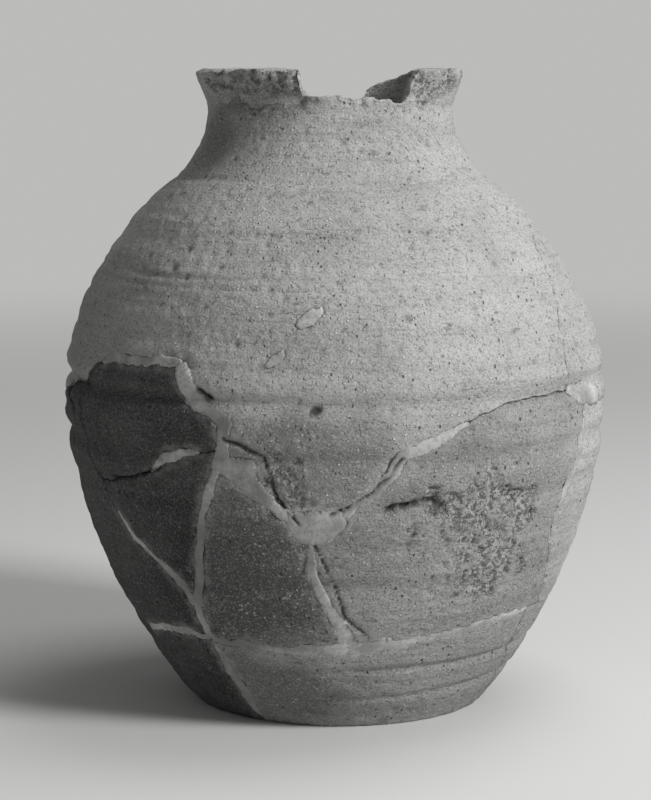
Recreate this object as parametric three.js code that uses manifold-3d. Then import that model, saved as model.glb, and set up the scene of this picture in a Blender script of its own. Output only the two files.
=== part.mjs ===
// A wheel-made jar of fired clay, put together again from its sherds, with plaster in the gaps.
// Millimetres, +Z up. The origin is the middle of the flat base, and the front looks towards -Y.
import * as THREE from 'three';
import { mergeVertices } from 'three/addons/utils/BufferGeometryUtils.js';
import Module from 'manifold-3d';

// Outer wall: the radius at each station, and how far the station lies above the one before.
const BASE_RADIUS = 57.6;
const HEEL_RADIUS = 64.9;
const HEEL_RISE = 8;
const FOOT_RADIUS = 79;
const FOOT_RISE = 22;
const LOWER_RADIUS = 95.7;
const LOWER_RISE = 35;
const BELLY_RADIUS = 107.5;
const BELLY_RISE = 54;
const UPPER_RADIUS = 101.3;
const UPPER_RISE = 36;
const SHOULDER_RADIUS = 76.9;
const SHOULDER_RISE = 39;
const NECK_ROOT_RADIUS = 55.4;
const NECK_ROOT_RISE = 20;
const NECK_RADIUS = 48.3;
const NECK_RISE = 19;
const LIP_RADIUS = 52.4;
const LIP_RISE = 17;

// Thickness of the clay.
const WALL = 8;
const NECK_WALL = 6.5;
const FLOOR = 10;
const LIP_ROUNDING = 3;

// The pot leans: its mouth stands this far to the left of its base.
const LEAN = 3.9;

// Glue line between two sherds, and between a sherd and plaster.
const GLUE_LINE = 0.3;

// Greatest width of each plaster fill.
const SHOULDER_FILL = 3.5;
const DIAGONAL_FILL = 10;
const CENTRE_FILL = 13;
const RISING_FILL = 5;
const RIGHT_PATCH_FILL = 8;
const RIGHT_EDGE_FILL = 4;
const LEFT_CRACK_FILL = 3;
const LEFT_UPRIGHT_FILL = 3;
const LEFT_SLANTING_FILL = 3;
const LOWER_CRACK_FILL = 5;
const RING_FILL = 4.5;
const FOOT_FILL = 3.5;
const SPOT_FILL = 5;
const SPOT_DEPTH = 3;

// How finely the curved surfaces are divided.
const SIDES = 48;
const OUTER_ROWS = 20;
const INNER_ROWS = 9;
const LIP_STEPS = 4;
const FLATNESS = 0.05;

// Colours of the clay and the plaster.
const PALE_CLAY = 0xb9b9b7;
const MID_CLAY = 0x98989a;
const DARK_CLAY = 0x5c5c5e;
const PLASTER = 0xb2b2b0;

// Profile of the outer wall
const stations = [
  [BASE_RADIUS, 0],
  [HEEL_RADIUS, HEEL_RISE],
  [FOOT_RADIUS, FOOT_RISE],
  [LOWER_RADIUS, LOWER_RISE],
  [BELLY_RADIUS, BELLY_RISE],
  [UPPER_RADIUS, UPPER_RISE],
  [SHOULDER_RADIUS, SHOULDER_RISE],
  [NECK_ROOT_RADIUS, NECK_ROOT_RISE],
  [NECK_RADIUS, NECK_RISE],
  [LIP_RADIUS, LIP_RISE - LIP_ROUNDING],
];
let rise = 0;
const profile = new THREE.CatmullRomCurve3(stations.map(([radius, step]) => {
  rise += step;
  return new THREE.Vector3(radius, rise, 0);
}), false, 'centripetal');
const HEIGHT = rise + LIP_ROUNDING;
const SHOULDER_HEIGHT = HEIGHT - LIP_RISE - NECK_RISE - NECK_ROOT_RISE;
const NECK_HEIGHT = HEIGHT - LIP_RISE;

const wallRows = profile.getSpacedPoints(OUTER_ROWS).map((row) => new THREE.Vector2(row.x, row.y));

// The inner face keeps the thickness of the wall from the smooth outer profile.
function innerPoint(share) {
  const outer = profile.getPointAt(share);
  const along = profile.getTangentAt(share);
  const towardsNeck = THREE.MathUtils.smoothstep(outer.y, SHOULDER_HEIGHT, NECK_HEIGHT);
  const wall = THREE.MathUtils.lerp(WALL, NECK_WALL, towardsNeck);
  return new THREE.Vector2(outer.x - along.y * wall, outer.y + along.x * wall);
}

function innerRows() {
  const rows = [];
  for (let i = INNER_ROWS; i >= 0; i -= 1) {
    rows.push(innerPoint(i / INNER_ROWS));
  }
  const above = rows.filter((row) => row.y > FLOOR);
  const corner = rows.find((row) => row.y <= FLOOR);
  const last = above.at(-1);
  if (corner) {
    const share = (FLOOR - last.y) / (corner.y - last.y);
    above.push(last.clone().lerp(corner, share));
  }
  return above;
}

function lipRows() {
  const rim = wallRows.at(-1);
  const inside = innerPoint(1);
  const rows = [];
  for (let i = 1; i < LIP_STEPS; i += 1) {
    const turn = Math.PI * i / LIP_STEPS;
    const middle = (rim.x + inside.x) / 2;
    const half = (rim.x - inside.x) / 2;
    rows.push(new THREE.Vector2(
      middle + half * Math.cos(turn),
      rim.y + LIP_ROUNDING * Math.sin(turn),
    ));
  }
  return rows;
}

// Solids
const wasm = await Module();
wasm.setup();

function solid(geometry) {
  geometry.deleteAttribute('normal');
  geometry.deleteAttribute('uv');
  const merged = mergeVertices(geometry, 1e-4);
  const corners = merged.index.array;
  const kept = [];
  for (let i = 0; i < corners.length; i += 3) {
    const [a, b, c] = [corners[i], corners[i + 1], corners[i + 2]];
    if (a !== b && b !== c && c !== a) {
      kept.push(a, b, c);
    }
  }
  return new wasm.Manifold(new wasm.Mesh({
    numProp: 3,
    vertProperties: new Float32Array(merged.attributes.position.array),
    triVerts: new Uint32Array(kept),
  }));
}

function surface(points, triangles) {
  const places = points.flatMap((point) => point.toArray());
  const geometry = new THREE.BufferGeometry();
  geometry.setAttribute('position', new THREE.Float32BufferAttribute(places, 3));
  geometry.setIndex(triangles);
  return geometry;
}

function thrownPot() {
  const outline = [
    new THREE.Vector2(0, 0),
    ...wallRows,
    ...lipRows(),
    ...innerRows(),
    new THREE.Vector2(0, FLOOR),
  ];
  const pot = new THREE.LatheGeometry(outline, SIDES);
  pot.rotateX(Math.PI / 2);
  return solid(pot);
}

// A row of four-cornered sections, each joined to the next, as one closed body.
function sleeve(sections, closed) {
  const triangles = [];
  const joins = closed ? sections.length : sections.length - 1;
  for (let i = 0; i < joins; i += 1) {
    const here = 4 * i;
    const next = 4 * ((i + 1) % sections.length);
    for (let side = 0; side < 4; side += 1) {
      const other = (side + 1) % 4;
      triangles.push(here + side, here + other, next + other, here + side, next + other, next + side);
    }
  }
  if (!closed) {
    const end = 4 * (sections.length - 1);
    triangles.push(0, 2, 1, 0, 3, 2, end, end + 1, end + 2, end, end + 2, end + 3);
  }
  return solid(surface(sections.flat(), triangles));
}

// Places on the outer face are given as an azimuth, in degrees round from the front towards the
// right, and a level, in hundredths of the height.
function radiusAt(height) {
  const above = wallRows.findIndex((row) => row.y >= height);
  if (above < 1) {
    return wallRows.at(above).x;
  }
  const [low, high] = [wallRows[above - 1], wallRows[above]];
  return THREE.MathUtils.mapLinear(height, low.y, high.y, low.x, high.x);
}

function around(azimuth, radius, height) {
  const turn = THREE.MathUtils.degToRad(azimuth);
  return new THREE.Vector3(radius * Math.sin(turn), -radius * Math.cos(turn), height);
}

function onWall(azimuth, level) {
  const height = level * HEIGHT / 100;
  return around(azimuth, radiusAt(height), height);
}

// A place on the underside has its share of the base's radius in place of a level.
function onFloor(azimuth, share) {
  return around(azimuth, BASE_RADIUS * share, 0);
}

// Every break runs through the clay towards one point inside the pot, at this level.
const HEART_LEVEL = 46;
const HEART = new THREE.Vector3(0, 0, HEART_LEVEL * HEIGHT / 100);
const CUT_OUTSIDE = WALL;
const CUT_INSIDE = 2.5 * FLOOR;
const OVERRUN = 2 * GLUE_LINE;
// At a sharp corner a cut widens no further than by this share.
const MITRE_LIMIT = 0.6;

// A cut through the wall along a line on its outer face. Each station of the line is a place
// and the width of the cut there.
function cut(line, narrower, overrun, depth = CUT_INSIDE) {
  const ahead = (i) => line[Math.min(i + 1, line.length - 1)].at;
  const behind = (i) => line[Math.max(i - 1, 0)].at;
  const sections = line.map(({ at, width }, i) => {
    const ray = at.clone().sub(HEART).normalize();
    const arriving = at.clone().sub(behind(i)).normalize();
    const leaving = ahead(i).clone().sub(at).normalize();
    const along = arriving.clone().add(leaving);
    along.addScaledVector(ray, -along.dot(ray)).normalize();
    const mitre = i > 0 && i < line.length - 1 ? Math.max(along.dot(leaving), MITRE_LIMIT) : 1;
    const side = ray.clone().cross(along);
    const half = Math.max(width - narrower, GLUE_LINE) / 2 / mitre;
    const end = (i === line.length - 1) - (i === 0);
    const middle = at.clone().addScaledVector(along, end * overrun);
    const corner = (sideways, inwards) => middle.clone()
      .addScaledVector(side, sideways)
      .addScaledVector(ray, inwards);
    return [
      corner(half, CUT_OUTSIDE),
      corner(-half, CUT_OUTSIDE),
      corner(-half, -depth),
      corner(half, -depth),
    ];
  });
  return sleeve(sections, false);
}

// The broken edge of the rim: azimuths, and the level at which the neck ends there. Over 100 the
// rim is whole.
const RIM_EDGE = [
  [-13.2, 101], [-12.6, 95.2], [-9, 95.7], [0, 96], [9, 95.7], [20, 95.4], [35, 94.8], [37, 96.2],
  [38.5, 97.6], [42, 99], [45, 101],
  [75, 101], [100, 101], [128, 101], [135, 99.6], [142, 98.8], [150, 97.9], [156, 97.3], [161, 96.4],
  [167, 94.6], [174, 93.4], [184, 93.2], [188, 94.6], [193, 96.4], [198, 99], [203, 101],
  [230, 101], [260, 101], [300, 101], [325, 101],
];
// What is cut away there is a crown that reaches this far past the wall on both sides, and its
// lower face slopes by this much.
const CROWN_REACH = 2 * WALL;
const BREAK_SLOPE = 1.5;

function brokenRim() {
  const above = HEIGHT + 2 * LIP_ROUNDING;
  return sleeve(RIM_EDGE.map(([azimuth, level]) => {
    const height = level * HEIGHT / 100;
    const inside = NECK_RADIUS - NECK_WALL - CROWN_REACH;
    const outside = LIP_RADIUS + CROWN_REACH;
    return [
      around(azimuth, inside, height + BREAK_SLOPE),
      around(azimuth, inside, above),
      around(azimuth, outside, above),
      around(azimuth, outside, height - BREAK_SLOPE),
    ];
  }), true);
}

// Corners where breaks meet
const LEFT_EDGE = onWall(-64, 53);
const LEFT_BACK = onWall(-112, 48.5);
const LEFT_BACK_FOOT = onWall(-112, 16);
const SHOULDER_LEFT = onWall(-56, 56.4);
const DIAGONAL_TOP = onWall(-32.5, 57.4);
const DIAGONAL_LEFT = onWall(-22.8, 45.8);
const DIAGONAL_FOOT = onWall(-9, 35);
const LEFT_CROSSING = onWall(-60, 37.6);
const UPRIGHT_TOP = onWall(-23.2, 43.4);
const UPRIGHT_MEETING = onWall(-35.6, 20);
const UPRIGHT_FOOT = onWall(-35.5, 14.6);
const PATCH_RIGHT = onWall(1.5, 35.4);
const PATCH_BELOW = onWall(-5, 31.5);
const RISING_END = onWall(26.5, 49.4);
const RIGHT_CROSSING = onWall(56.5, 52);
const RIGHT_FORK = onWall(62, 51);
const RIGHT_PATCH_END = onWall(72, 49.5);
const RIGHT_BACK = onWall(115, 48.5);
const RIGHT_BACK_FOOT = onWall(115, 16.5);
const EDGE_FILL_TOP = onWall(62.5, 47);
const EDGE_FILL_FOOT = onWall(56, 34.4);
const RING_MIDDLE = onWall(3.5, 14.4);
const RING_FOOT_RIGHT = onWall(56.5, 17.4);
const RING_EDGE_RIGHT = onWall(65, 17.6);
const RING_LEFT_END = onWall(-64, 13.6);
const FOOT_LEFT_HEEL = onFloor(-31, 1);
const FOOT_RIGHT_HEEL = onFloor(73, 1);
const FOOT_LEFT_BACK = onWall(-106, 15);
const FOOT_RIGHT_BACK = onWall(141, 16.5);
const BACK_MIDDLE = onWall(180, 48);
const BACK_MIDDLE_FOOT = onWall(180, 15.6);
const SHOULDER_BACK = onWall(157, 49.5);

// Breaks without plaster: lines through the clay from corner to corner.
const cracks = [
  [SHOULDER_LEFT, onWall(-61, 54.8), LEFT_EDGE],
  [LEFT_EDGE, onWall(-70, 52.4), onWall(-77, 51), onWall(-93, 49), LEFT_BACK],
  [LEFT_EDGE, onWall(-65.5, 51), onWall(-65.3, 46.6), onWall(-64.6, 42.8), onWall(-62, 40.4), LEFT_CROSSING],
  [LEFT_CROSSING, onWall(-54, 38.8), onWall(-46, 40.4), onWall(-40.5, 41.4)],
  [onWall(-28, 44.8), DIAGONAL_LEFT],
  [LEFT_CROSSING, onWall(-58, 35.6), onWall(-55, 33.6)],
  [LEFT_BACK, onWall(-116, 40), onWall(-110, 31), onWall(-114, 24), LEFT_BACK_FOOT],
  [LEFT_BACK, onWall(-130, 46.8), onWall(-150, 49.4), onWall(-167, 49), BACK_MIDDLE],
  [BACK_MIDDLE, onWall(168, 47.6), SHOULDER_BACK],
  [SHOULDER_BACK, onWall(142, 50.6), onWall(128, 49.6), RIGHT_BACK],
  [RIGHT_BACK, onWall(98, 47.4), onWall(84, 47.8), RIGHT_PATCH_END],
  [BACK_MIDDLE, onWall(-177, 41), onWall(177, 33), onWall(-178, 25), BACK_MIDDLE_FOOT],
  [RIGHT_BACK, onWall(111, 41), onWall(117, 33), onWall(113, 25), RIGHT_BACK_FOOT],
  [RISING_END, onWall(31, 50.4), onWall(36, 51.6), onWall(43, 52), onWall(50, 51.8), RIGHT_CROSSING],
  [RIGHT_CROSSING, onWall(56, 55), onWall(57, 58.6), onWall(57.5, 62), onWall(61, 65.6), onWall(64.5, 69.6),
    onWall(68, 73.4), onWall(76, 76), onWall(86, 78.6), onWall(96, 80), onWall(112, 79.4), onWall(128, 77.6),
    onWall(143, 74), onWall(153, 67.6), onWall(159, 60), SHOULDER_BACK],
  [RIGHT_FORK, EDGE_FILL_TOP],
  [EDGE_FILL_FOOT, onWall(56, 31.2), onWall(57, 28.2), onWall(60, 24), RING_EDGE_RIGHT],
  [RING_FOOT_RIGHT, RING_EDGE_RIGHT],
  [RING_EDGE_RIGHT, onWall(82, 16.8), onWall(98, 15.8), RIGHT_BACK_FOOT],
  [RIGHT_BACK_FOOT, FOOT_RIGHT_BACK],
  [FOOT_RIGHT_BACK, onWall(160, 14.6), BACK_MIDDLE_FOOT],
  [BACK_MIDDLE_FOOT, onWall(-158, 17), onWall(-135, 17.4), LEFT_BACK_FOOT],
  [LEFT_BACK_FOOT, FOOT_LEFT_BACK],
  [DIAGONAL_FOOT, onWall(-6.5, 33.4), PATCH_BELOW],
  [FOOT_LEFT_BACK, onWall(-92, 14.2), onWall(-77, 14.6), RING_LEFT_END],
  [RING_FOOT_RIGHT, onWall(59, 12), onWall(62.5, 8.6), onWall(66, 5.6), onWall(70, 2.8), FOOT_RIGHT_HEEL],
  [FOOT_RIGHT_HEEL, onFloor(81, 0.82), onFloor(97, 0.7), onFloor(112, 0.66), onFloor(124, 0.74)],
  [onFloor(124, 0.74), onFloor(134, 0.85), onFloor(139, 1), onWall(142, 4), onWall(137, 10), FOOT_RIGHT_BACK],
  [onFloor(124, 0.74), onFloor(146, 0.6), onFloor(172, 0.62), onFloor(-162, 0.55), onFloor(-134, 0.66)],
  [onFloor(-134, 0.66), onFloor(-121, 0.8), onFloor(-113, 1), onWall(-109, 5), onWall(-113, 10),
    FOOT_LEFT_BACK],
  [onFloor(-134, 0.66), onFloor(-108, 0.6), onFloor(-80, 0.56), onFloor(-56, 0.68), onFloor(-40, 0.86),
    FOOT_LEFT_HEEL],
];

// Plaster fills: a name, the greatest width and a line of places, each with its share of that width.
const fills = [
  {
    name: 'centre_fill',
    width: CENTRE_FILL,
    line: [[DIAGONAL_FOOT, 0.4], [onWall(-6.5, 33.4), 0.85], [onWall(-2.5, 34), 0.9], [PATCH_RIGHT, 0.4]],
  },
  {
    name: 'diagonal_fill',
    width: DIAGONAL_FILL,
    line: [[DIAGONAL_TOP, 0.35], [onWall(-31.2, 55), 0.55], [onWall(-29.6, 52.8), 0.75],
      [onWall(-26, 51.4), 0.45], [onWall(-22.2, 49.6), 0.55], [DIAGONAL_LEFT, 0.45], [UPRIGHT_TOP, 0.6],
      [onWall(-18.6, 42.6), 1], [onWall(-16.4, 39.6), 0.75], [onWall(-13.2, 37.2), 0.4], [DIAGONAL_FOOT, 0.35]],
  },
  {
    name: 'shoulder_fill',
    width: SHOULDER_FILL,
    line: [[SHOULDER_LEFT, 0.5], [onWall(-51, 57.5), 1], [onWall(-43, 58), 0.6], [onWall(-37, 57.6), 0.9],
      [DIAGONAL_TOP, 0.9]],
  },
  {
    name: 'rising_fill',
    width: RISING_FILL,
    line: [[PATCH_RIGHT, 0.5], [onWall(3.8, 37.6), 0.45], [onWall(8, 39.2), 0.45], [onWall(11.3, 41.4), 0.7],
      [onWall(13.6, 44.8), 0.9], [onWall(17.5, 46.2), 1], [onWall(22.5, 47.9), 0.6], [RISING_END, 0.3]],
  },
  {
    name: 'right_patch_fill',
    width: RIGHT_PATCH_FILL,
    line: [[RIGHT_CROSSING, 0.3], [RIGHT_FORK, 0.9], [onWall(66.5, 50.6), 1], [RIGHT_PATCH_END, 0.35]],
  },
  {
    name: 'right_edge_fill',
    width: RIGHT_EDGE_FILL,
    line: [[EDGE_FILL_TOP, 0.4], [onWall(63, 43), 0.8], [onWall(60, 40), 1], [onWall(59, 37.2), 0.8],
      [EDGE_FILL_FOOT, 0.4]],
  },
  {
    name: 'left_crack_fill',
    width: LEFT_CRACK_FILL,
    line: [[onWall(-40.5, 41.4), 0.3], [onWall(-35.8, 43.4), 1], [onWall(-32, 44), 0.9],
      [onWall(-28, 44.8), 0.4]],
  },
  {
    name: 'left_upright_fill',
    width: LEFT_UPRIGHT_FILL,
    line: [[UPRIGHT_TOP, 0.7], [onWall(-26, 38.8), 0.8], [onWall(-28.4, 35), 0.9], [onWall(-30, 31.2), 1],
      [onWall(-32.2, 27.2), 0.9], [onWall(-34.8, 22.8), 0.9], [UPRIGHT_MEETING, 1], [UPRIGHT_FOOT, 1]],
  },
  {
    name: 'left_slanting_fill',
    width: LEFT_SLANTING_FILL,
    line: [[onWall(-55, 33.6), 0.4], [onWall(-51, 29.8), 0.9], [onWall(-46.8, 27.6), 0.7],
      [onWall(-42.8, 25.2), 1],
      [onWall(-39, 23), 0.7], [UPRIGHT_MEETING, 0.6]],
  },
  {
    name: 'lower_crack_fill',
    width: LOWER_CRACK_FILL,
    line: [[PATCH_BELOW, 0.3], [onWall(-5.6, 27.2), 0.7], [onWall(-3.4, 24.2), 0.75],
      [onWall(-1.2, 21.4), 0.8],
      [onWall(1, 18.2), 0.9], [RING_MIDDLE, 1]],
  },
  {
    name: 'ring_fill_left',
    width: RING_FILL,
    line: [[RING_LEFT_END, 0.4], [onWall(-53, 14.8), 0.55], [onWall(-43.5, 15.6), 0.65], [UPRIGHT_FOOT, 0.6]],
  },
  {
    name: 'ring_fill_front',
    width: RING_FILL,
    line: [[UPRIGHT_FOOT, 0.6], [onWall(-27, 14.6), 0.5], [onWall(-18, 14.2), 0.6], [onWall(-10, 14.4), 0.65],
      [onWall(-3, 14.4), 0.7], [RING_MIDDLE, 1]],
  },
  {
    name: 'ring_fill_right',
    width: RING_FILL,
    line: [[RING_MIDDLE, 1], [onWall(10, 14.4), 1], [onWall(17, 14.8), 0.9], [onWall(22, 15.6), 0.65],
      [onWall(30, 16.2), 0.6], [onWall(38, 16.6), 0.6], [onWall(47, 17), 0.5], [RING_FOOT_RIGHT, 0.35]],
  },
  {
    name: 'foot_fill',
    width: FOOT_FILL,
    line: [[UPRIGHT_FOOT, 0.5], [onWall(-34.3, 11.4), 0.6], [onWall(-33, 8.6), 0.8], [onWall(-31.4, 5), 1],
      [onWall(-31, 2), 0.6], [FOOT_LEFT_HEEL, 0.4]],
  },
  {
    name: 'lower_spot_fill',
    width: SPOT_FILL,
    depth: SPOT_DEPTH,
    line: [[onWall(-9.8, 60.2), 0.35], [onWall(-11.4, 59.2), 0.7], [onWall(-13.4, 57.6), 0.35]],
  },
  {
    name: 'upper_spot_fill',
    width: SPOT_FILL,
    depth: SPOT_DEPTH,
    line: [[onWall(-2, 66), 0.35], [onWall(-4.8, 64.6), 1], [onWall(-7.4, 63.4), 0.5]],
  },
];

// Sherds: the name, the colour and a place in the middle of each.
const sherds = [
  ['neck_and_shoulder', PALE_CLAY, onWall(10, 75)],
  ['right_shoulder', PALE_CLAY, onWall(80, 62)],
  ['left_belly', DARK_CLAY, onWall(-45, 50)],
  ['left_lower', DARK_CLAY, onWall(-40, 34)],
  ['left_side', DARK_CLAY, onWall(-80, 32)],
  ['front_lower', MID_CLAY, onWall(-17, 27)],
  ['front_belly', MID_CLAY, onWall(30, 32)],
  ['right_side', PALE_CLAY, onWall(85, 32)],
  ['back_left', DARK_CLAY, onWall(-145, 33)],
  ['back_right', MID_CLAY, onWall(150, 33)],
  ['foot_front', MID_CLAY, onWall(10, 6)],
  ['foot_left', DARK_CLAY, onWall(-70, 8)],
  ['foot_right', MID_CLAY, onWall(105, 8)],
  ['foot_back', MID_CLAY, onWall(-165, 8)],
];

function probe(place) {
  const inwards = HEART.clone().sub(place).normalize();
  const point = new THREE.OctahedronGeometry(WALL / 8);
  const middle = place.clone().addScaledVector(inwards, WALL / 2);
  point.translate(middle.x, middle.y, middle.z);
  return solid(point);
}

// The finished pieces
const CLAY_ROUGHNESS = 0.95;
const PLASTER_ROUGHNESS = 0.85;

function leaning(geometry) {
  const lean = new THREE.Matrix4().makeShear(0, 0, 0, 0, -LEAN / HEIGHT, 0);
  return geometry.applyMatrix4(lean);
}

function piece(name, body, colour, roughness) {
  const { vertProperties, triVerts } = body.simplify(FLATNESS).getMesh();
  const geometry = new THREE.BufferGeometry();
  geometry.setAttribute('position', new THREE.BufferAttribute(vertProperties, 3));
  geometry.setIndex(new THREE.BufferAttribute(triVerts, 1));
  leaning(geometry);
  geometry.computeVertexNormals();
  const material = new THREE.MeshStandardMaterial({ color: colour, roughness, metalness: 0 });
  const mesh = new THREE.Mesh(geometry, material);
  mesh.name = name;
  return mesh;
}

const whole = thrownPot().subtract(brokenRim());
const centreLine = ({ line, width }) => line.map(([at, share]) => ({ at, width: width * share }));
const beds = fills.map((fill) => cut(centreLine(fill), 0, OVERRUN, fill.depth));
const crackLine = (line) => line.map((at) => ({ at, width: GLUE_LINE }));
const hairlines = cracks.map((line) => cut(crackLine(line), 0, OVERRUN));

const clay = new THREE.Group();
const broken = whole.subtract(wasm.Manifold.union([...beds, ...hairlines])).decompose();
for (const [name, colour, middle] of sherds) {
  const seed = probe(middle);
  const found = broken.find((part) => !part.intersect(seed).isEmpty());
  clay.add(piece(name, found, colour, CLAY_ROUGHNESS));
}

const plaster = new THREE.Group();
fills.forEach((fill, i) => {
  const depth = fill.depth ? fill.depth - GLUE_LINE : CUT_INSIDE;
  const cast = cut(centreLine(fill), 2 * GLUE_LINE, -GLUE_LINE, depth);
  let body = whole.intersect(cast);
  for (const earlier of beds.slice(0, i)) {
    body = body.subtract(earlier);
  }
  plaster.add(piece(fill.name, body, PLASTER, PLASTER_ROUGHNESS));
});

const jar = new THREE.Group();
jar.add(clay, plaster);

export default jar;
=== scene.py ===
import math
import bpy
import numpy as np
from mathutils.bvhtree import BVHTree
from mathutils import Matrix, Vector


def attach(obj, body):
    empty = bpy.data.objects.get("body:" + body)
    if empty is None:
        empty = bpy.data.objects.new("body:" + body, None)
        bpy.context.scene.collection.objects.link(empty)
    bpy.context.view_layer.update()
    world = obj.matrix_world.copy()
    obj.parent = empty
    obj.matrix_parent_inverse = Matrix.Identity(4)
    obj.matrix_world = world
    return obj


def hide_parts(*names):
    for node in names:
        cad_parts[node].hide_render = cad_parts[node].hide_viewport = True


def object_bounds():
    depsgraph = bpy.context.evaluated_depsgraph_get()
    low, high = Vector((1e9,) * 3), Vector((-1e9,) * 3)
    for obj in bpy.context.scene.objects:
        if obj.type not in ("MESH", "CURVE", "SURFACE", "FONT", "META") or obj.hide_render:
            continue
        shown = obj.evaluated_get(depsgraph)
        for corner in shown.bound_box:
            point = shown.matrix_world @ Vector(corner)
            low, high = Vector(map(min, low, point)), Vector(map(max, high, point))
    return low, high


# The looks of a clay jar that was put together again from its sherds. Lengths in this script are
# millimetres until a mesh is written, which is in metres.
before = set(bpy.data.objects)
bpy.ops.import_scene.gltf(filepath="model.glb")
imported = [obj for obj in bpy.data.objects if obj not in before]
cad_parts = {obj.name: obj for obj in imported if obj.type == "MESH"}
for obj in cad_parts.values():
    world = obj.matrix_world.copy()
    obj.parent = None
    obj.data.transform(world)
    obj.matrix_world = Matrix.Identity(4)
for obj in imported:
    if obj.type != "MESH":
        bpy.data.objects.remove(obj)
cad_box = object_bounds()
MM = 0.001

# Outer wall of the pot: radius and height of each station of its profile.
STATIONS = [
    (57.6, 0), (64.9, 8), (79, 30), (95.7, 65), (107.5, 119),
    (101.3, 155), (76.9, 194), (55.4, 214), (48.3, 233), (52.4, 247),
]
HEIGHT = 250
LEAN = 3.9
PROFILE_STEP = 0.5
SKIN = 0.25

# Fineness of the meshes.
CLAY_VOXEL = 0.95
PLASTER_VOXEL = 0.6

# How far the line of a break wanders from the straight stretches of the solids.
WANDER = ((15, 1.5, 11), (6, 0.7, 12), (2.6, 0.28, 13))


# Noise
def lattice(i, j, k, seed):
    """Random values from -1 to 1 at whole-numbered points."""
    mask = 0xFFFFFFFF
    h = (i * 374761393 + j * 668265263 + k * 362437 + seed * 974711) & mask
    h = ((h ^ (h >> 13)) * 1274126177) & mask
    h = ((h ^ (h >> 15)) * 668265263) & mask
    return (h ^ (h >> 16)) / mask * 2 - 1


def noise(points, scale, seed):
    """Smooth noise with features of about scale millimetres."""
    q = points / scale
    cell = np.floor(q).astype(np.int64)
    f = q - cell
    f = f * f * f * (f * (f * 6 - 15) + 10)
    total = np.zeros(len(q))
    for corner in range(8):
        bits = [(corner >> axis) & 1 for axis in range(3)]
        share = np.ones(len(q))
        for axis in range(3):
            share *= f[:, axis] if bits[axis] else 1 - f[:, axis]
        total += share * lattice(*(cell[:, axis] + bits[axis] for axis in range(3)), seed)
    return total


def rough(points, scale, octaves, seed):
    """Noise with finer noise added on it."""
    return sum(noise(points, scale / 2 ** n, seed + n) / 2 ** n for n in range(octaves))


def ramp(x, low, high):
    t = np.clip((x - low) / (high - low), 0, 1)
    return t * t * (3 - 2 * t)


# Profile
def catmull_rom(points, steps):
    """The curve through the points with centripetal spacing, as the solids have it."""
    p = np.array([2 * points[0] - points[1], *points, 2 * points[-1] - points[-2]])
    out = []
    for a, b, c, d in zip(p, p[1:], p[2:], p[3:]):
        u, v, w = (np.sqrt(np.linalg.norm(x)) for x in (b - a, c - b, d - c))
        start = ((b - a) / u - (c - a) / (u + v) + (c - b) / v) * v
        end = ((c - b) / v - (d - b) / (v + w) + (d - c) / w) * v
        t = np.linspace(0, 1, steps, endpoint=False)[:, None]
        out.append((2 * t**3 - 3 * t**2 + 1) * b + (t**3 - 2 * t**2 + t) * start
                   + (3 * t**2 - 2 * t**3) * c + (t**3 - t**2) * end)
    return np.vstack([*out, p[-2]])


def wall_line():
    """The underside and the outer wall as evenly spaced points, with s = 0 at the base's edge."""
    wall = catmull_rom(np.array(STATIONS, float), 60)
    step = np.linalg.norm(np.diff(wall, axis=0), axis=1)
    length = np.concatenate([[0], np.cumsum(step)])
    s = np.arange(0, length[-1], PROFILE_STEP)
    wall = np.stack([np.interp(s, length, wall[:, axis]) for axis in (0, 1)], axis=1)
    under = np.arange(-wall[0, 0], 0, PROFILE_STEP)
    floor = np.stack([under + wall[0, 0], np.zeros(len(under))], axis=1)
    line = np.vstack([floor, wall])
    along = np.gradient(line, axis=0)
    along /= np.linalg.norm(along, axis=1)[:, None]
    return np.concatenate([under, s]), line, np.stack([along[:, 1], -along[:, 0]], axis=1)


LINE_S, LINE, LINE_NORMAL = wall_line()
SPAN = LINE_S[-1]


def unroll(points):
    """Azimuth in radians, place along the wall line and depth under the outer face."""
    x = points[:, 0] + LEAN * points[:, 2] / HEIGHT
    flat = np.stack([np.hypot(x, points[:, 1]), points[:, 2]], axis=1)
    azimuth = np.arctan2(x, -points[:, 1])
    nearest = np.empty(len(flat), int)
    for start in range(0, len(flat), 20000):
        part = flat[start:start + 20000, None, :] - LINE[None, ::2]
        nearest[start:start + 20000] = 2 * np.argmin((part ** 2).sum(axis=2), axis=1)
    away = flat - LINE[nearest]
    normal = LINE_NORMAL[nearest]
    slip = away[:, 0] * -normal[:, 1] + away[:, 1] * normal[:, 0]
    depth = -(away * normal).sum(axis=1)
    return azimuth, LINE_S[nearest] + slip, depth


def roll(azimuth, s, depth):
    """The points at these places: what unroll undoes."""
    spot = np.stack([np.interp(s, LINE_S, LINE[:, a]) for a in (0, 1)], axis=1)
    normal = np.stack([np.interp(s, LINE_S, LINE_NORMAL[:, a]) for a in (0, 1)], axis=1)
    over = np.stack([np.maximum(s - SPAN, 0) * -normal[:, 1], np.maximum(s - SPAN, 0) * normal[:, 0]], axis=1)
    flat = spot + over - normal * depth[:, None]
    x = flat[:, 0] * np.sin(azimuth) - LEAN * flat[:, 1] / HEIGHT
    return np.stack([x, -flat[:, 0] * np.cos(azimuth), flat[:, 1]], axis=1)


def upright(azimuth, s):
    """Where the outer face is at these places, without the lean."""
    spot = np.stack([np.interp(s, LINE_S, LINE[:, a]) for a in (0, 1)], axis=1)
    return np.stack([spot[:, 0] * np.sin(azimuth), -spot[:, 0] * np.cos(azimuth), spot[:, 1]], axis=1)


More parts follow.
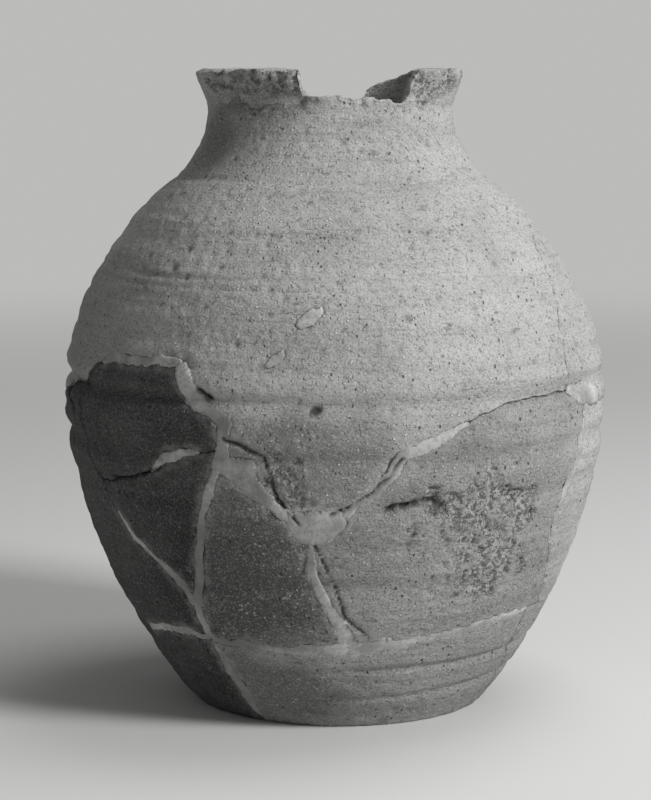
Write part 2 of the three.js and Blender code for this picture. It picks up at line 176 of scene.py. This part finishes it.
# Relief of the outer face. Depths are positive into the clay.
# Throwing grooves: height, depth, width, and azimuths between which each is deepest.
GROOVES = (
    (208, 0.6, 1.1, -90, 40), (174, 0.5, 0.8, -60, 80), (170.5, 0.4, 0.8, -60, 80), (152, 0.8, 5, -90, 30),
    (130, 2.7, 3.2, -100, 60), (119, 0.5, 4, -100, 60), (108.5, 2, 3.6, -100, 75), (92, 0.8, 3.5, -90, 60),
    (224, 0.4, 2, -180, 180), (186, 0.6, 4, -180, 180), (26, 1.4, 1.5, 5, 70), (13.5, 1, 1.5, 15, 75),
    (141, 0.6, 3, -100, 100), (164, 0.4, 2.5, -100, 100), (197, 0.4, 3, -180, 180), (60, 0.5, 4, -180, 180),
)
GROOVE_RISE = 0.035


# Under the lip of the left remnant the clay broke away deeply: azimuths, height, depth and width.
UNDERCUT = (-62, -14, 238.5, 3, 3.6)


def azimuth_window(azimuth, low, high):
    degrees = np.degrees(azimuth)
    inside = ramp(degrees, low - 25, low + 10) * (1 - ramp(degrees, high - 10, high + 25))
    return 0.35 + 0.65 * inside


def thrown(azimuth, height, spot):
    depth = np.zeros(len(height))
    wave = height + 1.4 * noise(spot, 60, 21) - GROOVE_RISE * np.degrees(np.abs(azimuth)) * 0.4
    for level, deep, wide, low, high in GROOVES:
        depth += deep * azimuth_window(azimuth, low, high) * np.exp(-((wave - level) / wide) ** 2)
    low, high, level, deep, wide = UNDERCUT
    across = ramp(np.degrees(azimuth), low - 8, low) * (1 - ramp(np.degrees(azimuth), high, high + 4))
    depth += deep * across * np.exp(-((height - level + 1.5 * noise(spot, 8, 23)) / wide) ** 2)
    flat = spot * np.array([0.06, 0.06, 1])
    depth += 0.24 * noise(flat, 2.2, 31) + 0.32 * noise(flat, 5.5, 32) + 0.3 * noise(spot, 34, 33)
    return depth


# Flaked patches on the outer face: azimuth, height, half width, half height, depth.
FLAKES = (
    (33, 88, 11, 13, 1.6), (36, 68, 8, 12, 1.5), (24, 94, 5, 3.5, 1.6), (13, 92.5, 2.5, 1.6, 1.2), (-9.5, 99, 5, 7, 1.4),
    (28, 60, 5, 5, 0.9), (30, 104, 5, 4, 0.8), (-34, 243, 21, 6, 2.3), (58, 244, 15, 7, 2.2), (-30, 52, 3, 3, 0.8),
)


def flaked(azimuth, height, spot):
    """How deep the face has flaked off, from 0 to about 2.4 mm."""
    depth = np.zeros(len(height))
    for at, level, wide, tall, deep in FLAKES:
        away = ((np.degrees(azimuth) - at) / wide) ** 2 + ((height - level) / tall) ** 2
        reach = 1.15 - np.sqrt(away) + 0.75 * rough(spot, 7, 3, 41)
        depth = np.maximum(depth, deep * ramp(reach, 0, 0.16) * (0.7 + 0.6 * rough(spot, 3.2, 2, 45)))
    return np.maximum(depth, 0)


# Open cracks and cavities: half width, depth, and a line of azimuths and heights.
CREVICES = (
    (0.5, 1.3, ((-22.4, 117.5), (-18.7, 115.3), (-14.3, 111.3), (-12.9, 103.6), (-12, 95.8), (-7.8, 86.8))),
    (0.4, 1.1, ((-1.3, 90), (3.1, 94.2), (6.8, 98.4), (10.9, 104.8), (13.2, 110.6))),
    (0.4, 1.1, ((-4.6, 78), (-2.1, 68.5), (-0.4, 60.8), (1.6, 49.7), (7.8, 40.9))),
    (1.1, 1.8, ((-27.9, 135.1), (-25.9, 132.8))),
    (1, 1.8, ((10.5, 92.1), (16.2, 93.9))),
    (1, 1.8, ((18.2, 95.2), (22.4, 92.4))),
    (1.1, 1.8, ((-3.8, 128.9), (-3.3, 128.7))),
    (0.35, 0.35, ((11, 180), (14.5, 180.8), (18, 183), (21, 187), (24, 189), (31, 193))),
    (0.6, 1.2, ((-53.7, 97.4), (-46, 99.5), (-37.1, 105))),
    (1, 1.5, ((-76, 128), (-70, 119))),
)
# How far a crevice wanders from its line.
CREVICE_WANDER = 0.45


def face_line():
    """The outer wall as heights and places along the wall line."""
    wall = LINE_S >= 0
    return LINE[wall, 1], LINE_S[wall]


def crevices(spot):
    """Depth of the open cracks and cavities."""
    heights, places = face_line()
    wobble = 0.75 + 0.7 * ramp(rough(spot, 5, 2, 91), -0.6, 0.5)
    depth = np.zeros(len(spot))
    shift = np.stack([noise(spot, 4, 97 + axis) for axis in range(3)], axis=1)
    spot = spot + CREVICE_WANDER * shift
    for half, deep, line in CREVICES:
        turns = np.radians([azimuth for azimuth, _ in line])
        stops = upright(turns, np.interp([height for _, height in line], heights, places))
        for a, b in zip(stops, stops[1:]):
            near = np.abs(spot - (a + b) / 2).max(axis=1) < np.linalg.norm(b - a) / 2 + 3 * half
            along = b - a
            share = np.clip((spot[near] - a) @ along / (along @ along), 0, 1)
            away = np.linalg.norm(spot[near] - a - share[:, None] * along, axis=1)
            cleft = deep * np.exp(-(away / half / wobble[near]) ** 2)
            depth[near] = np.maximum(depth[near], cleft)
    return depth


# Broad darker patches: azimuth, height, half width, half height and strength.
# Painted shade: the shadow under the broken lip of the left remnant (-42, 236), and the shaded left side
# of the neck (-62, 226) and of the upper body (-66, 150). Partly painted shade and partly darker clay:
# the wall under the belly where it turns downward (-6, 112). The others only darken the surface:
# the front lower sherd towards its lower left (-24, 62) and (-11, 60), low at the front left (-22, 17)
# and (-26, 37), the plaster patch at (-2, 85) and a faint patch at (22, 112).
SHADE_AND_DARK_PATCHES = (
    (-6, 112, 24, 20, 1), (-22, 17, 34, 18, 1), (-62, 226, 30, 18, 1), (-66, 150, 24, 34, 0.5),
    (-24, 62, 24, 34, 1), (-11, 60, 10, 18, 1), (22, 112, 14, 9, 0.3), (-2, 85, 9, 7, 0.5), (-26, 37, 20, 6, 1), (-42, 236, 30, 7, 1),
)


def shaded_and_darkened(azimuth, height, spot):
    share = np.zeros(len(height))
    for at, level, wide, tall, strong in SHADE_AND_DARK_PATCHES:
        away = np.hypot((np.degrees(azimuth) - at) / wide, (height - level) / tall)
        share = np.maximum(share, strong * ramp(1.25 - away + 0.3 * rough(spot, 16, 3, 95), 0, 0.9))
    return share


PITS = 1100


def pitted(spot):
    """Small pits where grit fell out."""
    draw = np.random.default_rng(5)
    azimuth = draw.uniform(-math.pi, math.pi, PITS)
    s = draw.uniform(6, SPAN, PITS)
    radius = draw.gamma(2, 0.2, PITS) + 0.6
    centres = upright(azimuth, s)
    depth = np.zeros(len(spot))
    order = np.argsort(spot[:, 2])
    heights = spot[order, 2]
    for centre, size in zip(centres, radius):
        low, high = np.searchsorted(heights, (centre[2] - 2 * size, centre[2] + 2 * size))
        near = order[low:high]
        away = ((spot[near] - centre) ** 2).sum(axis=1) / size ** 2
        depth[near] = np.maximum(depth[near], 0.55 * size * np.exp(-away * 1.5))
    return depth


# Meshes
def coordinates(mesh):
    flat = np.empty(len(mesh.vertices) * 3, np.float32)
    mesh.vertices.foreach_get("co", flat)
    return flat.reshape(-1, 3).astype(float) / MM


def remeshed(node, voxel):
    """A fine, even mesh of a solid."""
    piece = bpy.data.objects.new(node + "_piece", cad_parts[node].data.copy())
    bpy.context.scene.collection.objects.link(piece)
    piece.data.materials.clear()
    modifier = piece.modifiers.new("fine", "REMESH")
    modifier.mode = "VOXEL"
    modifier.voxel_size = voxel * MM
    bpy.context.view_layer.update()
    evaluated = piece.evaluated_get(bpy.context.evaluated_depsgraph_get())
    fine = bpy.data.meshes.new_from_object(evaluated)
    piece.modifiers.clear()
    coarse = piece.data
    piece.data = fine
    bpy.data.meshes.remove(coarse)
    return piece


def break_faces(node):
    """The faces of a solid that aren't its outer or inner face, as a search tree."""
    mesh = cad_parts[node].data
    mesh.calc_loop_triangles()
    points = coordinates(mesh)
    corners = np.array([t.vertices[:] for t in mesh.loop_triangles])
    middle = points[corners].mean(axis=1)
    normal = np.cross(points[corners[:, 1]] - points[corners[:, 0]], points[corners[:, 2]] - points[corners[:, 0]])
    normal /= np.maximum(np.linalg.norm(normal, axis=1), 1e-9)[:, None]
    azimuth, s, depth = unroll(middle)
    wall = np.stack([np.interp(s, LINE_S, LINE_NORMAL[:, a]) for a in (0, 1)], axis=1)
    outward = np.stack([wall[:, 0] * np.sin(azimuth), -wall[:, 0] * np.cos(azimuth), wall[:, 1]], axis=1)
    across = np.abs((normal * outward).sum(axis=1)) < 0.6
    return BVHTree.FromPolygons(points.tolist(), corners[across].tolist())


def distances(tree, points, reach):
    """The distance from each point to the tree, or reach where it is further."""
    out = np.full(len(points), reach)
    for i, point in enumerate(points.tolist()):
        found = tree.find_nearest(point, reach)
        if found[0] is not None:
            out[i] = found[3]
    return out


def joined_tree(nodes):
    """The outer parts of several solids as one search tree."""
    points, faces = [], []
    for node in nodes:
        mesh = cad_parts[node].data
        mesh.calc_loop_triangles()
        start = sum(len(p) for p in points)
        points.append(coordinates(mesh))
        faces += [[start + v for v in t.vertices] for t in mesh.loop_triangles]
    return BVHTree.FromPolygons(np.vstack(points).tolist(), faces)


def wandered(azimuth, s):
    """Both coordinates moved along the face, the same for every piece, so that breaks still meet."""
    spot = upright(azimuth, s)
    radius = np.maximum(np.hypot(spot[:, 0], spot[:, 1]), 20)
    sideways, lengthways = np.zeros(len(s)), np.zeros(len(s))
    for scale, amount, seed in WANDER:
        sideways += amount * noise(spot, scale, seed)
        lengthways += amount * noise(spot, scale, seed + 50)
    calm = ramp(s, 2, 16) * (1 - ramp(s, SPAN - 26, SPAN - 14))
    return azimuth + calm * sideways / radius, s + calm * lengthways


# The looks stay this far inside the box of the solids.
BOX_MARGIN = 0.02


def store(mesh, name, values):
    layer = mesh.attributes.new(name, "FLOAT", "POINT")
    layer.data.foreach_set("value", values.astype(np.float32))


def finish_piece(piece, node, points, material):
    mesh = piece.data
    low, high = np.array(cad_box[0]) / MM + BOX_MARGIN, np.array(cad_box[1]) / MM - BOX_MARGIN
    low[2] = 0
    points = np.clip(points, low, high)
    mesh.vertices.foreach_set("co", (points * MM).astype(np.float32).ravel())
    mesh.polygons.foreach_set("use_smooth", np.ones(len(mesh.polygons), bool))
    mesh.materials.append(material)
    mesh.update()
    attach(piece, "root")
    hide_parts(node)


EDGE_REACH = 3.5
FILM_REACH = 9
RIM_HEIGHT = 228


def sherd(node, material, fills_tree):
    piece = remeshed(node, CLAY_VOXEL)
    before = coordinates(piece.data)
    azimuth, s, depth = unroll(before)
    outer = 1 - ramp(depth, 0.6, 2.4)
    edge = np.full(len(before), EDGE_REACH)
    near = depth < 3
    edge[near] = distances(break_faces(node), before[near], EDGE_REACH)
    film = np.full(len(before), float(FILM_REACH))
    film[near] = distances(fills_tree, before[near], FILM_REACH)
    azimuth, s = wandered(azimuth, s)
    spot = upright(azimuth, s)
    height = spot[:, 2]
    underside = ramp(-s, 0.5, 4)
    flake = flaked(azimuth, height, spot)
    pits = pitted(spot)
    cleft = crevices(spot)
    beside = ramp(film, 1, 3)
    worn = 0.3 * np.exp(-(edge / 0.7) ** 2) * beside
    chipped = 0.8 * ramp(rough(spot, 6, 3, 61), 0.35, 0.75) * np.exp(-(edge / 1.9) ** 2)
    relief = SKIN + np.maximum(thrown(azimuth, height, spot) + 0.2 * rough(spot, 3, 2, 65), -0.2)
    relief = relief + flake + pits + worn + chipped + cleft
    relief = relief * (1 - underside) + underside * (0.15 + 0.2 * ramp(rough(spot, 9, 3, 66), 0, 1))
    depth = depth * (1 - outer) + outer * np.maximum(depth - 0.35, 0) * 0.4 + outer * relief
    points = roll(azimuth, s, depth)
    rim = ramp(before[:, 2], RIM_HEIGHT, RIM_HEIGHT + 8) * np.exp(-(edge / 2.2) ** 2)
    for axis in range(3):
        points[:, axis] += rim * 1.3 * rough(before, 7, 3, 71 + axis) * (1 if axis < 2 else 0.8)
    points[:, 2] = np.clip(points[:, 2], 0, HEIGHT - 0.05)
    mesh = piece.data
    store(mesh, "film", outer * (1 - film / FILM_REACH))
    store(mesh, "flake", np.clip(flake / 1.2, 0, 1) * outer)
    store(mesh, "pit", np.clip(pits / 0.7, 0, 1) * outer)
    store(mesh, "cleft", np.clip(cleft / 0.9, 0, 1) * outer)
    store(mesh, "shade_and_dark", shaded_and_darkened(azimuth, height, spot) * outer)
    finish_piece(piece, node, points, material)


# How far plaster was smeared over the clay beside each fill, and where it spreads further:
# azimuth, height, half width, half height, extra reach.
SMEAR = 0.9
SPOT_PROUD = 0.35
SPREADS = ((8, 37.5, 11, 6, 2.6), (-3, 84, 7, 6, 1.4), (-28, 137, 6, 6, 1.2), (64, 127, 9, 5, 0.8), (-14, 101, 4, 8, 0.8))


def spread(azimuth, height):
    reach = np.zeros(len(height))
    for at, level, wide, tall, extra in SPREADS:
        away = ((np.degrees(azimuth) - at) / wide) ** 2 + ((height - level) / tall) ** 2
        reach += extra * np.exp(-away)
    return reach


def vertex_normals(mesh):
    flat = np.empty(len(mesh.vertices) * 3, np.float32)
    mesh.vertex_normals.foreach_get("vector", flat)
    return flat.reshape(-1, 3).astype(float)


def fill(node, material):
    piece = remeshed(node, PLASTER_VOXEL)
    before = coordinates(piece.data)
    normal = vertex_normals(piece.data)
    azimuth, s, depth = unroll(before)
    outer = 1 - ramp(depth, 0.6, 2.4)
    over = 1 - ramp(depth, 0.3, 1.3)
    wide = SMEAR + 0.7 * rough(before, 6, 3, 88) + 0.35 * rough(before, 2, 2, 89) + spread(azimuth, before[:, 2])
    moved = unroll(before + normal * (0.35 + over * np.maximum(wide, 0))[:, None])
    low = before[:, 2] < 3
    azimuth, s = np.where(low, azimuth, moved[0]), np.where(low, s, moved[1])
    side = np.abs(moved[2] - depth) < 0.5 * (0.35 + over * np.maximum(wide, 0))
    azimuth, s = wandered(azimuth, s)
    spot = upright(azimuth, s)
    hollow = 0.12 + 0.2 * rough(spot, 11, 3, 81) + 0.1 * rough(spot, 2.5, 2, 85) + 0.22 * (side & (over > 0.5))
    scraped = 0.75 * thrown(azimuth, spot[:, 2], spot)
    if "spot" in node:
        hollow, scraped = hollow - SPOT_PROUD, scraped / 2
    cleft = crevices(spot)
    depth = depth * (1 - outer) + outer * np.maximum(depth - 0.35, 0) * 0.4
    depth += outer * (SKIN + np.maximum(hollow + scraped, -0.1) + cleft)
    points = roll(azimuth, s, depth)
    points[:, 2] = np.maximum(points[:, 2], 0)
    store(piece.data, "cleft", np.clip(cleft / 0.9, 0, 1) * outer)
    store(piece.data, "shade_and_dark", shaded_and_darkened(azimuth, spot[:, 2], spot) * outer)
    finish_piece(piece, node, points, material)


# Materials
class Nodes:
    """Adds and links shader nodes."""

    def __init__(self, name):
        self.material = bpy.data.materials.new(name)
        self.material.use_nodes = True
        self.tree = self.material.node_tree
        self.shader = self.tree.nodes["Principled BSDF"]

    def add(self, kind, **settings):
        node = self.tree.nodes.new(kind)
        for key, value in settings.items():
            setattr(node, key, value)
        return node

    def link(self, output, target):
        self.tree.links.new(output, target)

    def place(self, stretch=(1, 1, 1), slant=0):
        """Object coordinates in metres, stretched and turned about the front-to-back axis."""
        where = self.add("ShaderNodeTexCoord")
        mapping = self.add("ShaderNodeMapping")
        mapping.inputs["Rotation"].default_value = (0, math.radians(slant), 0)
        mapping.inputs["Scale"].default_value = stretch
        self.link(where.outputs["Object"], mapping.inputs["Vector"])
        return mapping.outputs["Vector"]

    def noise(self, vector, scale, detail=4, roughness=0.55):
        node = self.add("ShaderNodeTexNoise")
        node.inputs["Scale"].default_value = scale
        node.inputs["Detail"].default_value = detail
        node.inputs["Roughness"].default_value = roughness
        self.link(vector, node.inputs["Vector"])
        return node.outputs["Fac"]

    def cells(self, vector, scale, output="Distance"):
        node = self.add("ShaderNodeTexVoronoi")
        node.inputs["Scale"].default_value = scale
        self.link(vector, node.inputs["Vector"])
        return node.outputs[output]

    def between(self, value, low, high, bottom=0.0, top=1.0):
        node = self.add("ShaderNodeMapRange", interpolation_type="SMOOTHSTEP")
        for key, number in zip(("From Min", "From Max", "To Min", "To Max"), (low, high, bottom, top)):
            node.inputs[key].default_value = number
        self.link(value, node.inputs["Value"])
        return node.outputs["Result"]

    def sum(self, first, second, how="ADD"):
        node = self.add("ShaderNodeMath", operation=how)
        for value, socket in zip((first, second), node.inputs):
            if isinstance(value, (int, float)):
                socket.default_value = value
            else:
                self.link(value, socket)
        return node.outputs["Value"]

    def attribute(self, name):
        return self.add("ShaderNodeAttribute", attribute_name=name).outputs["Fac"]

    def mix(self, share, under, over):
        node = self.add("ShaderNodeMix", data_type="RGBA")
        for value, socket in zip((share, under, over), (node.inputs[0], node.inputs[6], node.inputs[7])):
            if isinstance(value, tuple):
                socket.default_value = (*value, 1)
            else:
                self.link(value, socket)
        return node.outputs[2]

    def bump(self, height, distance, strength=1.0, below=None):
        node = self.add("ShaderNodeBump")
        node.inputs["Distance"].default_value = distance
        node.inputs["Strength"].default_value = strength
        self.link(height, node.inputs["Height"])
        if below is not None:
            self.link(below, node.inputs["Normal"])
        return node.outputs["Normal"]


# The scuffs of the clay slant down to the right in front, by this many degrees.
SCUFF_SLANT = -35


def grey(value):
    return (value, value, value * 0.985)


def clay(name, tone, shade, grit, film):
    """Gritty fired clay: tone is the plain grey, shade that of its darker clouds, grit that of its
    pale grains, and film how much plaster was smeared over the clay beside the fills."""
    n = Nodes(name)
    place = n.place()
    level = n.place((0.12, 0.12, 1))
    clouds = n.sum(n.between(n.noise(place, 22, 5), 0.35, 0.68), n.between(n.noise(level, 120, 4), 0.3, 0.75, 0, 0.5))
    colour = n.mix(n.sum(clouds, 0.62, "MULTIPLY"), grey(tone), grey(shade))
    # Darker patches from the table of patches; several of them are painted shade.
    colour = n.mix(n.sum(n.attribute("shade_and_dark"), 0.8, "MULTIPLY"), colour, grey(shade * 0.5))
    sand = n.noise(place, 1300, 2, 0.6)
    colour = n.mix(n.sum(n.between(sand, 0.5, 0.66), 0.5, "MULTIPLY"), colour, grey(shade * 0.45))
    colour = n.mix(n.sum(n.between(sand, 0.47, 0.36), 0.4, "MULTIPLY"), colour, grey(grit * 0.75))
    scuffs = n.noise(n.place((0.4, 0.7, 1), SCUFF_SLANT), 560, 3, 0.65)
    colour = n.mix(n.sum(n.between(scuffs, 0.4, 0.3), 0.6, "MULTIPLY"), colour, grey(shade * 0.35))
    colour = n.mix(n.sum(n.between(scuffs, 0.62, 0.72), 0.6, "MULTIPLY"), colour, grey(grit * 0.8))
    streaks = n.between(n.noise(n.place((0.04, 0.04, 1)), 700, 4, 0.7), 0.5, 0.68)
    colour = n.mix(n.sum(streaks, 0.22, "MULTIPLY"), colour, grey(shade * 0.5))
    grains = n.between(n.cells(place, 430), 0.26, 0.12)
    some = n.between(n.noise(place, 160, 2), 0.5, 0.58)
    colour = n.mix(n.sum(n.sum(grains, some, "MULTIPLY"), 0.7, "MULTIPLY"), colour, grey(grit))
    # Small holes, sunk by the bump further down and painted dark: painted shade in the holes.
    holes = n.between(n.cells(n.place((1.3, 1, 0.9)), 260), 0.18, 0.08)
    few = n.between(n.noise(place, 95, 2), 0.5, 0.57)
    hole = n.sum(holes, few, "MULTIPLY")
    colour = n.mix(n.sum(hole, 0.75, "MULTIPLY"), colour, grey(shade * 0.2))
    patchy = n.between(n.noise(place, 140, 5, 0.65), 0.36, 0.6)
    smear = n.sum(n.between(n.attribute("film"), 0.55, 0.97), n.sum(patchy, film, "MULTIPLY"), "MULTIPLY")
    colour = n.mix(smear, colour, grey(0.36))
    chips = n.between(n.noise(place, 560, 4, 0.7), 0.46, 0.54)
    fresh = n.sum(n.attribute("flake"), chips, "MULTIPLY")
    colour = n.mix(n.sum(n.attribute("flake"), 0.7, "MULTIPLY"), colour, grey(shade * 0.3))
    colour = n.mix(n.sum(fresh, 0.75, "MULTIPLY"), colour, grey(min(tone * 1.6, 0.5)))
    # Pits where grit fell out, painted darker: painted shade in the pits.
    colour = n.mix(n.sum(n.attribute("pit"), 0.4, "MULTIPLY"), colour, grey(shade * 0.4))
    # Open cracks painted almost black: painted shade inside them.
    colour = n.mix(n.sum(n.attribute("cleft"), 0.85, "MULTIPLY"), colour, grey(0.02))
    n.link(colour, n.shader.inputs["Base Color"])
    n.shader.inputs["Roughness"].default_value = 0.93
    n.shader.inputs["Specular IOR Level"].default_value = 0.25
    worn = n.bump(scuffs, 0.0012, 0.7)
    fine = n.bump(n.noise(place, 950, 4, 0.7), 0.0006, 0.9, worn)
    lines = n.bump(n.noise(n.place((0.05, 0.05, 1)), 800, 3), 0.00035, 0.7, fine)
    broken = n.bump(n.sum(n.noise(place, 330, 4, 0.7), n.attribute("flake"), "MULTIPLY"), 0.002, 0.9, lines)
    sandy = n.bump(n.sum(grains, n.sum(hole, -2.2, "MULTIPLY")), 0.0005, 0.9, broken)
    n.link(sandy, n.shader.inputs["Normal"])
    return n.material


def plaster(name, tone):
    """Smooth, scraped plaster with a little dirt, darker patches of which some are painted shade, and cracks painted
    almost black as painted shade.
    """
    n = Nodes(name)
    place = n.place()
    dirt = n.between(n.noise(place, 80, 5, 0.65), 0.36, 0.66)
    colour = n.mix(n.sum(dirt, 0.8, "MULTIPLY"), grey(tone), grey(tone * 0.45))
    speck = n.between(n.noise(place, 700, 4, 0.65), 0.5, 0.62)
    colour = n.mix(n.sum(speck, 0.45, "MULTIPLY"), colour, grey(tone * 0.4))
    # Darker patches from the table of patches; several of them are painted shade.
    colour = n.mix(n.sum(n.attribute("shade_and_dark"), 0.7, "MULTIPLY"), colour, grey(tone * 0.3))
    # Open cracks painted almost black: painted shade inside them.
    colour = n.mix(n.sum(n.attribute("cleft"), 0.85, "MULTIPLY"), colour, grey(0.02))
    n.link(colour, n.shader.inputs["Base Color"])
    n.shader.inputs["Roughness"].default_value = 0.85
    n.shader.inputs["Specular IOR Level"].default_value = 0.3
    soft = n.bump(n.noise(place, 260, 4), 0.0004, 0.6)
    n.link(n.bump(n.noise(place, 1100, 3), 0.0002, 0.6, soft), n.shader.inputs["Normal"])
    return n.material


# The stage
FLOOR_RADIUS = 12
FLOOR_SIDES = 64
PAPER = 0.72
FAR_GREY = 0.5
FADE = (0.5, 1.9)


def camera_share(n):
    """1 where the background itself is seen, also in a gloss or through glass, and else 0."""
    path = n.add("ShaderNodeLightPath")
    seen = n.sum(path.outputs["Is Camera Ray"], path.outputs["Is Glossy Ray"], "MAXIMUM")
    return n.sum(seen, path.outputs["Is Transmission Ray"], "MAXIMUM")


def studio_floor():
    """A pale floor that fades into the plain background far behind the jar."""
    turns = [2 * math.pi * side / FLOOR_SIDES for side in range(FLOOR_SIDES)]
    rim = [(FLOOR_RADIUS * math.cos(turn), FLOOR_RADIUS * math.sin(turn), 0) for turn in turns]
    mesh = bpy.data.meshes.new("studio_floor")
    mesh.from_pydata(rim, [], [list(range(FLOOR_SIDES))])
    disc = bpy.data.objects.new("studio_floor", mesh)
    bpy.context.scene.collection.objects.link(disc)
    n = Nodes("paper")
    n.shader.inputs["Base Color"].default_value = (*grey(PAPER), 1)
    n.shader.inputs["Roughness"].default_value = 1.0
    n.shader.inputs["Specular IOR Level"].default_value = 0.0
    where = n.add("ShaderNodeTexCoord").outputs["Object"]
    length = n.add("ShaderNodeVectorMath", operation="LENGTH")
    n.link(where, length.inputs[0])
    far = n.between(length.outputs["Value"], *FADE)
    glow = n.add("ShaderNodeEmission")
    glow.inputs["Color"].default_value = (*grey(FAR_GREY), 1)
    blend = n.add("ShaderNodeMixShader")
    n.link(n.sum(far, camera_share(n), "MULTIPLY"), blend.inputs[0])
    n.link(n.shader.outputs[0], blend.inputs[1])
    n.link(glow.outputs[0], blend.inputs[2])
    n.link(blend.outputs[0], n.tree.nodes["Material Output"].inputs["Surface"])
    mesh.materials.append(n.material)


def area_light(name, place, aim, size, power):
    data = bpy.data.lights.new(name, "AREA")
    data.shape = "SQUARE"
    data.size = size
    data.energy = power
    lamp = bpy.data.objects.new(name, data)
    bpy.context.scene.collection.objects.link(lamp)
    lamp.location = place
    away = np.array(place) - np.array(aim)
    lamp.rotation_euler = (math.atan2(math.hypot(away[0], away[1]), away[2]), 0, math.atan2(away[0], -away[1]))
    return lamp


WORLD_LIGHT = 0.19


def studio():
    scene = bpy.context.scene
    world = bpy.data.worlds.new("room")
    scene.world = world
    world.use_nodes = True
    n = Nodes.__new__(Nodes)
    n.tree = world.node_tree
    light = n.tree.nodes["Background"]
    light.inputs["Color"].default_value = (1, 1, 1, 1)
    light.inputs["Strength"].default_value = WORLD_LIGHT
    seen = n.add("ShaderNodeBackground")
    seen.inputs["Color"].default_value = (*grey(FAR_GREY), 1)
    blend = n.add("ShaderNodeMixShader")
    n.link(camera_share(n), blend.inputs[0])
    n.link(light.outputs[0], blend.inputs[1])
    n.link(seen.outputs[0], blend.inputs[2])
    n.link(blend.outputs[0], n.tree.nodes["World Output"].inputs["Surface"])
    area_light("key", (1.2, -0.86, 0.98), (0, 0, 0.13), 0.45, 24.5)
    area_light("top", (0.45, 0.2, 1.5), (0, 0, 0.1), 0.9, 7)
    scene.view_settings.view_transform = "Standard"


def camera():
    data = bpy.data.cameras.new("camera")
    data.sensor_width = 36
    data.lens = 2526.46 * 36 / 800
    eye = bpy.data.objects.new("camera", data)
    bpy.context.scene.collection.objects.link(eye)
    eye.location = (-0.0054, -1.0, 0.255)
    eye.rotation_euler = (math.radians(90 - 7.773), 0, 0)
    bpy.context.scene.camera = eye


# Putting it together
camera()
studio()
studio_floor()
PALE = clay("pale_clay", 0.50, 0.33, 0.7, 0.35)
MID = clay("mid_clay", 0.38, 0.23, 0.62, 0.5)
DARK = clay("dark_clay", 0.105, 0.05, 0.3, 0.4)
# A darker copy of the mid clay, for the front lower sherd.
DARKER_MID = clay("darker_mid_clay", 0.25, 0.14, 0.6, 0.5)
FOOT = clay("foot_clay", 0.40, 0.25, 0.6, 0.4)
WHITE = plaster("plaster", 0.5)
SHERDS = {
    "neck_and_shoulder": (PALE, "pale_clay"), "right_shoulder": (PALE, "pale_clay"),
    "left_belly": (DARK, "dark_clay"), "left_lower": (DARK, "dark_clay"), "left_side": (DARK, "dark_clay"),
    "front_lower": (DARKER_MID, "mid_clay"), "front_belly": (MID, "mid_clay"), "right_side": (PALE, "pale_clay"),
    "back_left": (DARK, "dark_clay"), "back_right": (MID, "mid_clay"), "foot_front": (FOOT, "mid_clay"),
    "foot_left": (DARK, "dark_clay"), "foot_right": (FOOT, "mid_clay"), "foot_back": (FOOT, "mid_clay"),
}
FILLS = sorted(set(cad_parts) - set(SHERDS))
plaster_tree = joined_tree(FILLS)
for node, (material, slot) in SHERDS.items():
    sherd(node, material, plaster_tree)
for node in FILLS:
    fill(node, WHITE)
